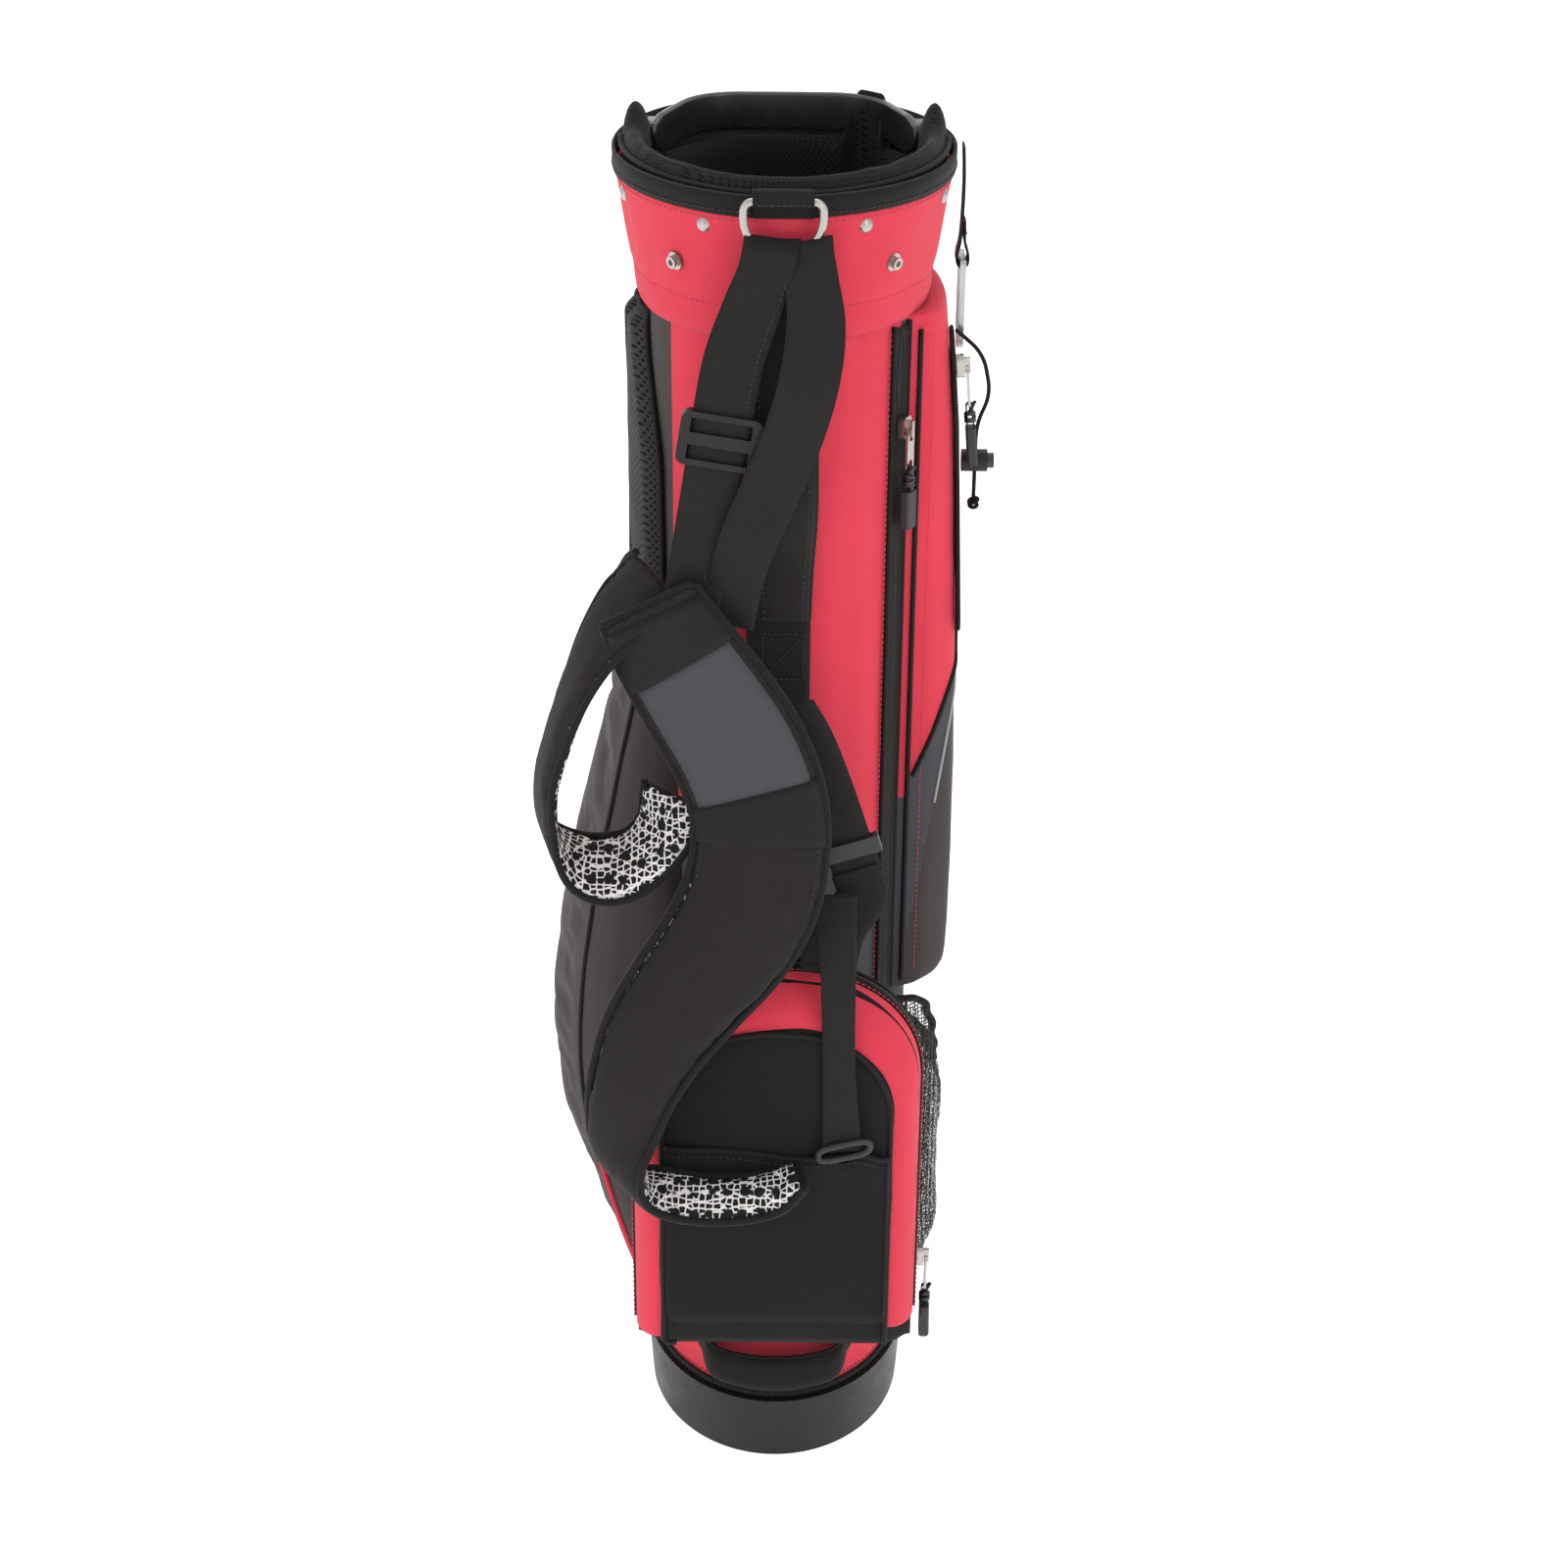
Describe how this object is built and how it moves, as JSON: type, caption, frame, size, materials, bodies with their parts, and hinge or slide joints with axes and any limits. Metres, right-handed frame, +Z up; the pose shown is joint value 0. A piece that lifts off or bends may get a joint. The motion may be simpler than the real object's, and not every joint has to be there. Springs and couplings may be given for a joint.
{
  "type": "golf stand bag",
  "caption": "Slim golf stand bag with a padded collar, lifting band, double shoulder strap, zip pockets, net pouch, folding legs and a hinged foot plate.",
  "frame": {"origin": "centre of the base's underside, on the floor the bag stands on", "axes": "+Z up the bag, -Y to the shoulder strap side, +Y to the legs, +X to the garment pocket with the long zip"},
  "size_m": [0.2693, 0.3289, 0.858],
  "materials": {
    "coral_fabric": "matte",
    "black_fabric": "matte",
    "taupe_fabric": "matte",
    "black_webbing": "matte",
    "black_mesh": "matte",
    "coil_zip": "matte",
    "black_plastic": "satin",
    "grey_plastic": "satin",
    "nickel": "brushed",
    "elastic": "matte",
    "leg_alloy": "satin",
    "steel_wire": "satin",
    "foot_rubber": "matte"
  },
  "bodies": {
    "bag": {"bag_shell": "coral_fabric", "ball_pocket": "black_fabric", "ball_trim": "coral_fabric", "base_cup": "black_plastic", "bottle_pouch": "black_mesh", "carry_handle": "black_fabric", "clip_webbing": "black_webbing", "collar_pad": "black_mesh", "collar_ring": "black_plastic", "cuff_binding": "black_webbing", "cuff_cover": "coral_fabric", "divider_frame": "black_fabric", "dome_rivets": "nickel", "elastic_cord": "elastic", "garment_zip_tape": "coil_zip", "hip_pad": "black_mesh", "hood_studs": "nickel", "left_pocket": "taupe_fabric", "leg_bracket": "black_plastic", "leg_pivot_pins": "steel_wire", "lift_handle": "black_plastic", "lower_grab_handle": "black_fabric", "pocket_flap": "black_fabric", "right_pocket": "taupe_fabric", "shoulder_pad_loop": "black_fabric", "shoulder_pad_main": "black_fabric", "spine_webbing": "black_webbing", "strap_tab": "black_webbing", "support_stays": "black_plastic", "valuables_zip": "coil_zip", "webbing_left": "black_webbing", "webbing_lower": "black_webbing", "webbing_right": "black_webbing", "webbing_tail": "black_webbing"},
    "left_leg": {"left_leg_knuckle": "black_plastic", "left_leg_tube": "leg_alloy", "left_leg_foot": "foot_rubber", "left_rod_clip": "black_plastic"},
    "right_leg": {"right_leg_knuckle": "black_plastic", "right_leg_tube": "leg_alloy", "right_leg_foot": "foot_rubber", "right_rod_clip": "black_plastic"},
    "left_rod": {"left_push_rod": "steel_wire"},
    "right_rod": {"right_push_rod": "steel_wire"},
    "foot": {"foot_plate": "black_plastic"},
    "ring": {"strap_ring": "nickel"},
    "buckle": {"ladder_buckle": "black_plastic"},
    "tail_loop": {"tail_slider": "grey_plastic"},
    "clip": {"towel_clip": "black_plastic"},
    "cord_lock": {"cord_lock_barrel": "black_plastic"},
    "lock_button": {"cord_lock_button": "black_plastic"},
    "garment_runner": {"garment_slider": "nickel"},
    "garment_puller": {"garment_pull": "nickel"},
    "garment_grip": {"garment_tab": "grey_plastic"},
    "valuables_runner": {"valuables_slider": "nickel"},
    "valuables_puller": {"valuables_pull": "nickel"},
    "valuables_grip": {"valuables_tab": "grey_plastic"},
    "ball_runner": {"ball_slider": "nickel"},
    "ball_puller": {"ball_pull": "nickel"},
    "ball_grip": {"ball_tab": "grey_plastic"}
  },
  "joints": [
    {"name": "left_leg_swing", "type": "hinge", "parent": "bag", "child": "left_leg", "pos_m": [-0.034, 0.104, 0.744], "axis": [0.9397, 0.342, 0], "range_deg": [0, 20], "stiffness_Nm_per_rad": 0.8},
    {"name": "right_leg_swing", "type": "hinge", "parent": "bag", "child": "right_leg", "pos_m": [0.034, 0.104, 0.744], "axis": [0.9397, -0.342, 0], "range_deg": [0, 20]},
    {"name": "left_rod_swing", "type": "hinge", "parent": "left_leg", "child": "left_rod", "pos_m": [-0.034, 0.104, 0.504], "axis": [0.9397, 0.342, 0], "range_deg": [-30, 0]},
    {"name": "right_rod_swing", "type": "hinge", "parent": "right_leg", "child": "right_rod", "pos_m": [0.034, 0.104, 0.504], "axis": [0.9397, -0.342, 0], "range_deg": [-30, 0]},
    {"name": "foot_plate_hinge", "type": "hinge", "parent": "bag", "child": "foot", "pos_m": [0, 0.032, 0.0036], "axis": [1, 0, 0], "range_deg": [0, 17]},
    {"name": "strap_ring_swing", "type": "hinge", "parent": "bag", "child": "ring", "pos_m": [0, -0.12, 0.8388], "axis": [-1, 0, 0], "range_deg": [-10, 4]},
    {"name": "ladder_buckle_slide", "type": "slide", "parent": "bag", "child": "buckle", "axis": [0.1587, 0, 0.9873], "range_m": [-0.04, 0.017]},
    {"name": "tail_loop_slide", "type": "slide", "parent": "bag", "child": "tail_loop", "axis": [-0.3107, 0, 0.9505], "range_m": [-0.006, 0.02]},
    {"name": "towel_clip_swing", "type": "hinge", "parent": "bag", "child": "clip", "pos_m": [0.101, 0.006, 0.774], "axis": [0, -1, 0], "range_deg": [0, 90]},
    {"name": "cord_lock_slide", "type": "slide", "parent": "bag", "child": "cord_lock", "axis": [0, 0, 1], "range_m": [-0.015, 0.004]},
    {"name": "cord_lock_press", "type": "slide", "parent": "cord_lock", "child": "lock_button", "axis": [1, 0, 0], "range_m": [-0.002, 0], "stiffness_N_per_m": 300, "springref_m": 0.001},
    {"name": "garment_zip_slide", "type": "slide", "parent": "bag", "child": "garment_runner", "axis": [0, 0, 1], "range_m": [-0.29, 0.045]},
    {"name": "garment_pull_swing", "type": "hinge", "parent": "garment_runner", "child": "garment_puller", "pos_m": [0.07139, -0.06434, 0.696], "axis": [-0.529, -0.8486, 0], "range_deg": [0, 110]},
    {"name": "garment_tab_swing", "type": "hinge", "parent": "garment_puller", "child": "garment_grip", "pos_m": [0.07139, -0.06434, 0.673], "axis": [-0.529, -0.8486, 0], "range_deg": [0, 40]},
    {"name": "valuables_zip_slide", "type": "slide", "parent": "bag", "child": "valuables_runner", "axis": [-0.0862, 0, 0.9963], "range_m": [-0.024, 0.01]},
    {"name": "valuables_pull_swing", "type": "hinge", "parent": "valuables_runner", "child": "valuables_puller", "pos_m": [0.104, -0.03, 0.72152], "axis": [0, -1, 0], "range_deg": [0, 110]},
    {"name": "valuables_tab_swing", "type": "hinge", "parent": "valuables_puller", "child": "valuables_grip", "pos_m": [0.10598, -0.03, 0.69861], "axis": [0, -1, 0], "range_deg": [0, 40]},
    {"name": "ball_zip_slide", "type": "slide", "parent": "bag", "child": "ball_runner", "axis": [0, 0, 1], "range_m": [-0.025, 0.115]},
    {"name": "ball_pull_swing", "type": "hinge", "parent": "ball_runner", "child": "ball_puller", "pos_m": [0.0929, -0.135, 0.185], "axis": [0, -1, 0], "range_deg": [0, 110]},
    {"name": "ball_tab_swing", "type": "hinge", "parent": "ball_puller", "child": "ball_grip", "pos_m": [0.0929, -0.135, 0.162], "axis": [0, -1, 0], "range_deg": [0, 40]}
  ],
  "couplings": [
    {"joint": "right_leg_swing", "follows": "left_leg_swing", "ratio": 1},
    {"joint": "left_rod_swing", "follows": "left_leg_swing", "ratio": -1.471},
    {"joint": "right_rod_swing", "follows": "left_leg_swing", "ratio": -1.471},
    {"joint": "foot_plate_hinge", "follows": "left_leg_swing", "ratio": 0.805}
  ]
}
